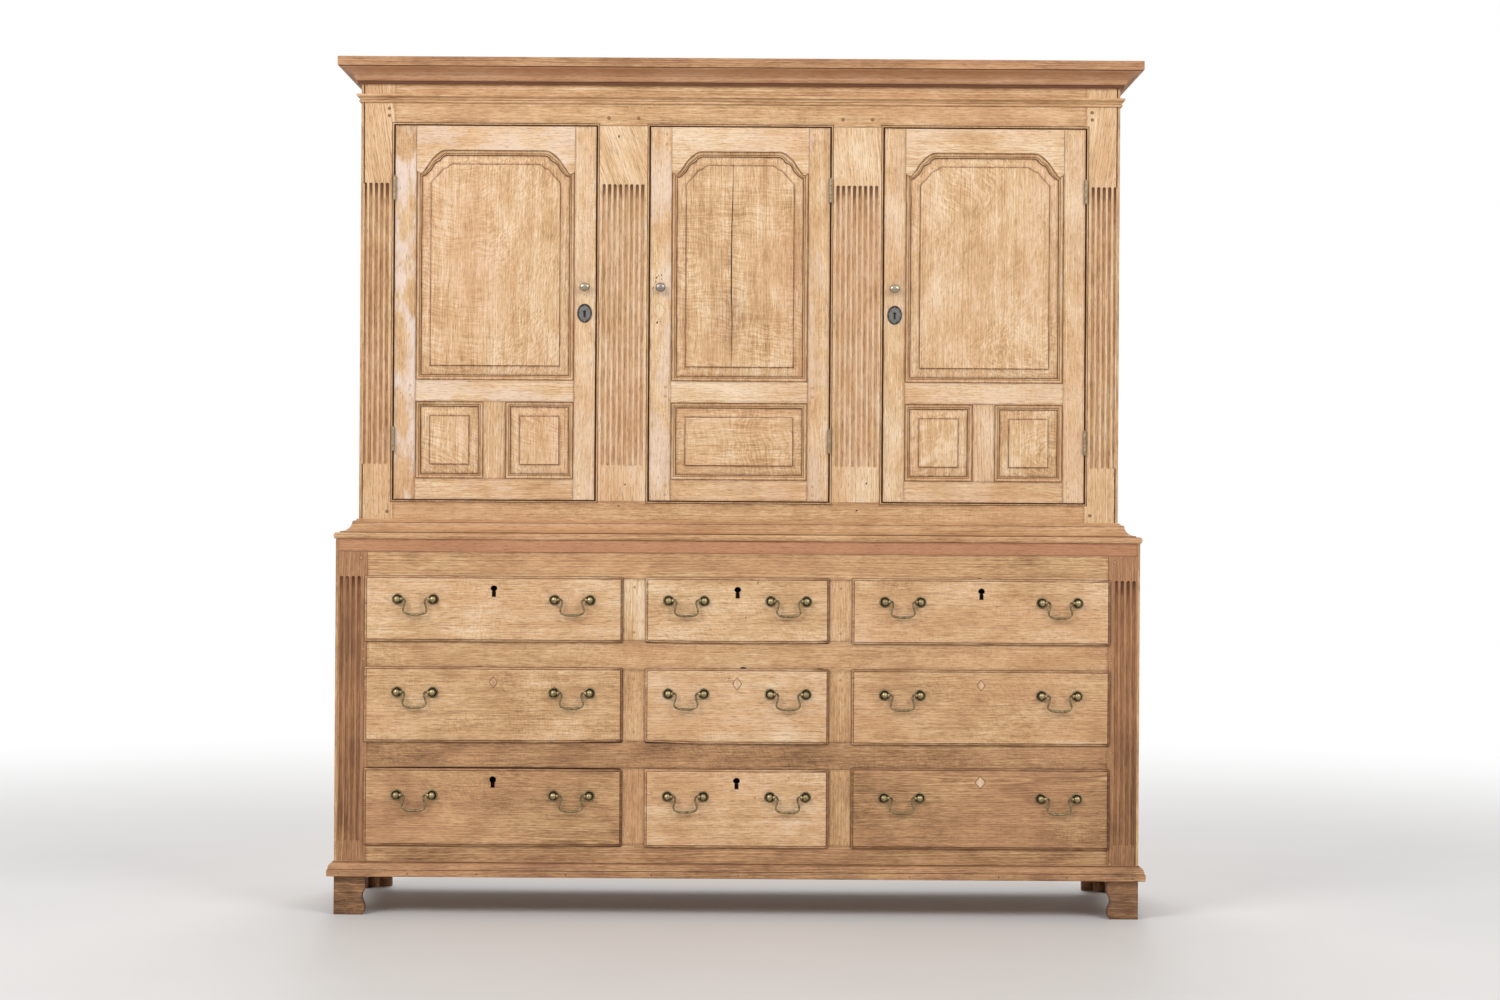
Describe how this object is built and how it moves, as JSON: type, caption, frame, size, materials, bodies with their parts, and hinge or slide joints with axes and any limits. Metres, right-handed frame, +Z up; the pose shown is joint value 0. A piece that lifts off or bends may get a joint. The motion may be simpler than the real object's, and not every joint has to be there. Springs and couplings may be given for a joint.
{
  "type": "housekeepers cupboard",
  "caption": "Two-stage oak press: three arched raised-panel doors between fluted pilasters, standing on a chest of lipped drawers with brass swan-neck handles and bracket feet.",
  "frame": {"origin": "middle of the footprint at floor level", "axes": "+X to the right along the front, +Y back towards the wall, +Z up"},
  "size_m": [2.033, 0.5714, 2.1348],
  "materials": {
    "pale_oak": "stripped and waxed quartered oak, pale honey, matt",
    "brown_oak": "waxed oak, browner, satin",
    "inner_oak": "dry unfinished oak",
    "brass": "aged, dull, greenish grey",
    "iron": "dark bronzed butt hinges"
  },
  "bodies": {
    "case": {"upper_side_left": "pale_oak", "upper_side_right": "pale_oak", "upper_face_frame": "pale_oak", "cornice": "pale_oak", "base_side_left": "brown_oak", "base_side_right": "brown_oak", "base_face_frame": "brown_oak", "base_top": "brown_oak", "base_moulding": "brown_oak", "foot_front_left": "brown_oak", "foot_front_right": "brown_oak", "foot_rear_left": "brown_oak", "foot_rear_right": "brown_oak", "base_back": "inner_oak", "upper_back": "inner_oak", "base_floor": "inner_oak", "dust_board_middle": "inner_oak", "dust_board_upper": "inner_oak", "upper_floor": "inner_oak", "shelf_lower": "inner_oak", "shelf_upper": "inner_oak", "hinge_left_lower": "iron", "hinge_left_upper": "iron", "hinge_middle_lower": "iron", "hinge_middle_upper": "iron", "hinge_right_lower": "iron", "hinge_right_upper": "iron"},
    "door_left": {"door_left": "pale_oak", "knob_left": "brass"},
    "door_middle": {"door_middle": "pale_oak", "knob_middle": "brass"},
    "door_right": {"door_right": "pale_oak", "knob_right": "brass"},
    "drawer_bottom_left": {"drawer_bottom_left": "brown_oak"},
    "drawer_bottom_middle": {"drawer_bottom_middle": "brown_oak"},
    "drawer_bottom_right": {"drawer_bottom_right": "brown_oak"},
    "drawer_middle_left": {"drawer_middle_left": "brown_oak"},
    "drawer_middle_middle": {"drawer_middle_middle": "brown_oak"},
    "drawer_middle_right": {"drawer_middle_right": "brown_oak"},
    "drawer_top_left": {"drawer_top_left": "brown_oak"},
    "drawer_top_middle": {"drawer_top_middle": "brown_oak"},
    "drawer_top_right": {"drawer_top_right": "brown_oak"},
    "bail_bottom_left_left": {"bail_bottom_left_left": "brass"},
    "bail_bottom_left_right": {"bail_bottom_left_right": "brass"},
    "bail_bottom_middle_left": {"bail_bottom_middle_left": "brass"},
    "bail_bottom_middle_right": {"bail_bottom_middle_right": "brass"},
    "bail_bottom_right_left": {"bail_bottom_right_left": "brass"},
    "bail_bottom_right_right": {"bail_bottom_right_right": "brass"},
    "bail_middle_left_left": {"bail_middle_left_left": "brass"},
    "bail_middle_left_right": {"bail_middle_left_right": "brass"},
    "bail_middle_middle_left": {"bail_middle_middle_left": "brass"},
    "bail_middle_middle_right": {"bail_middle_middle_right": "brass"},
    "bail_middle_right_left": {"bail_middle_right_left": "brass"},
    "bail_middle_right_right": {"bail_middle_right_right": "brass"},
    "bail_top_left_left": {"bail_top_left_left": "brass"},
    "bail_top_left_right": {"bail_top_left_right": "brass"},
    "bail_top_middle_left": {"bail_top_middle_left": "brass"},
    "bail_top_middle_right": {"bail_top_middle_right": "brass"},
    "bail_top_right_left": {"bail_top_right_left": "brass"},
    "bail_top_right_right": {"bail_top_right_right": "brass"}
  },
  "joints": [
    {"name": "door_left_hinge", "type": "hinge", "parent": "case", "child": "door_left", "pos_m": [-0.86515, -0.21385, 1.50175], "axis": [0, 0, -1], "range_deg": [0, 120]},
    {"name": "door_middle_hinge", "type": "hinge", "parent": "case", "child": "door_middle", "pos_m": [0.22575, -0.21385, 1.50175], "axis": [0, 0, 1], "range_deg": [0, 120]},
    {"name": "door_right_hinge", "type": "hinge", "parent": "case", "child": "door_right", "pos_m": [0.86515, -0.21385, 1.50175], "axis": [0, 0, 1], "range_deg": [0, 120]},
    {"name": "drawer_bottom_left_slide", "type": "slide", "parent": "case", "child": "drawer_bottom_left", "axis": [0, -1, 0], "range_m": [0, 0.38]},
    {"name": "drawer_bottom_middle_slide", "type": "slide", "parent": "case", "child": "drawer_bottom_middle", "axis": [0, -1, 0], "range_m": [0, 0.38]},
    {"name": "drawer_bottom_right_slide", "type": "slide", "parent": "case", "child": "drawer_bottom_right", "axis": [0, -1, 0], "range_m": [0, 0.38]},
    {"name": "drawer_middle_left_slide", "type": "slide", "parent": "case", "child": "drawer_middle_left", "axis": [0, -1, 0], "range_m": [0, 0.38]},
    {"name": "drawer_middle_middle_slide", "type": "slide", "parent": "case", "child": "drawer_middle_middle", "axis": [0, -1, 0], "range_m": [0, 0.38]},
    {"name": "drawer_middle_right_slide", "type": "slide", "parent": "case", "child": "drawer_middle_right", "axis": [0, -1, 0], "range_m": [0, 0.38]},
    {"name": "drawer_top_left_slide", "type": "slide", "parent": "case", "child": "drawer_top_left", "axis": [0, -1, 0], "range_m": [0, 0.38]},
    {"name": "drawer_top_middle_slide", "type": "slide", "parent": "case", "child": "drawer_top_middle", "axis": [0, -1, 0], "range_m": [0, 0.38]},
    {"name": "drawer_top_right_slide", "type": "slide", "parent": "case", "child": "drawer_top_right", "axis": [0, -1, 0], "range_m": [0, 0.38]},
    {"name": "bail_bottom_left_left_swing", "type": "hinge", "parent": "drawer_bottom_left", "child": "bail_bottom_left_left", "pos_m": [-0.8005, -0.27965, 0.29925], "axis": [-1, 0, 0], "range_deg": [-12, 170]},
    {"name": "bail_bottom_left_right_swing", "type": "hinge", "parent": "drawer_bottom_left", "child": "bail_bottom_left_right", "pos_m": [-0.4105, -0.27965, 0.29925], "axis": [-1, 0, 0], "range_deg": [-12, 170]},
    {"name": "bail_bottom_middle_left_swing", "type": "hinge", "parent": "drawer_bottom_middle", "child": "bail_bottom_middle_left", "pos_m": [-0.127, -0.27965, 0.29925], "axis": [-1, 0, 0], "range_deg": [-12, 170]},
    {"name": "bail_bottom_middle_right_swing", "type": "hinge", "parent": "drawer_bottom_middle", "child": "bail_bottom_middle_right", "pos_m": [0.127, -0.27965, 0.29925], "axis": [-1, 0, 0], "range_deg": [-12, 170]},
    {"name": "bail_bottom_right_left_swing", "type": "hinge", "parent": "drawer_bottom_right", "child": "bail_bottom_right_left", "pos_m": [0.4105, -0.27965, 0.29925], "axis": [-1, 0, 0], "range_deg": [-12, 170]},
    {"name": "bail_bottom_right_right_swing", "type": "hinge", "parent": "drawer_bottom_right", "child": "bail_bottom_right_right", "pos_m": [0.8005, -0.27965, 0.29925], "axis": [-1, 0, 0], "range_deg": [-12, 170]},
    {"name": "bail_middle_left_left_swing", "type": "hinge", "parent": "drawer_middle_left", "child": "bail_middle_left_left", "pos_m": [-0.8005, -0.27965, 0.5545], "axis": [-1, 0, 0], "range_deg": [-12, 170]},
    {"name": "bail_middle_left_right_swing", "type": "hinge", "parent": "drawer_middle_left", "child": "bail_middle_left_right", "pos_m": [-0.4105, -0.27965, 0.5545], "axis": [-1, 0, 0], "range_deg": [-12, 170]},
    {"name": "bail_middle_middle_left_swing", "type": "hinge", "parent": "drawer_middle_middle", "child": "bail_middle_middle_left", "pos_m": [-0.127, -0.27965, 0.5545], "axis": [-1, 0, 0], "range_deg": [-12, 170]},
    {"name": "bail_middle_middle_right_swing", "type": "hinge", "parent": "drawer_middle_middle", "child": "bail_middle_middle_right", "pos_m": [0.127, -0.27965, 0.5545], "axis": [-1, 0, 0], "range_deg": [-12, 170]},
    {"name": "bail_middle_right_left_swing", "type": "hinge", "parent": "drawer_middle_right", "child": "bail_middle_right_left", "pos_m": [0.4105, -0.27965, 0.5545], "axis": [-1, 0, 0], "range_deg": [-12, 170]},
    {"name": "bail_middle_right_right_swing", "type": "hinge", "parent": "drawer_middle_right", "child": "bail_middle_right_right", "pos_m": [0.8005, -0.27965, 0.5545], "axis": [-1, 0, 0], "range_deg": [-12, 170]},
    {"name": "bail_top_left_left_swing", "type": "hinge", "parent": "drawer_top_left", "child": "bail_top_left_left", "pos_m": [-0.8005, -0.27965, 0.7855], "axis": [-1, 0, 0], "range_deg": [-12, 170]},
    {"name": "bail_top_left_right_swing", "type": "hinge", "parent": "drawer_top_left", "child": "bail_top_left_right", "pos_m": [-0.4105, -0.27965, 0.7855], "axis": [-1, 0, 0], "range_deg": [-12, 170]},
    {"name": "bail_top_middle_left_swing", "type": "hinge", "parent": "drawer_top_middle", "child": "bail_top_middle_left", "pos_m": [-0.127, -0.27965, 0.7855], "axis": [-1, 0, 0], "range_deg": [-12, 170]},
    {"name": "bail_top_middle_right_swing", "type": "hinge", "parent": "drawer_top_middle", "child": "bail_top_middle_right", "pos_m": [0.127, -0.27965, 0.7855], "axis": [-1, 0, 0], "range_deg": [-12, 170]},
    {"name": "bail_top_right_left_swing", "type": "hinge", "parent": "drawer_top_right", "child": "bail_top_right_left", "pos_m": [0.4105, -0.27965, 0.7855], "axis": [-1, 0, 0], "range_deg": [-12, 170]},
    {"name": "bail_top_right_right_swing", "type": "hinge", "parent": "drawer_top_right", "child": "bail_top_right_right", "pos_m": [0.8005, -0.27965, 0.7855], "axis": [-1, 0, 0], "range_deg": [-12, 170]}
  ]
}
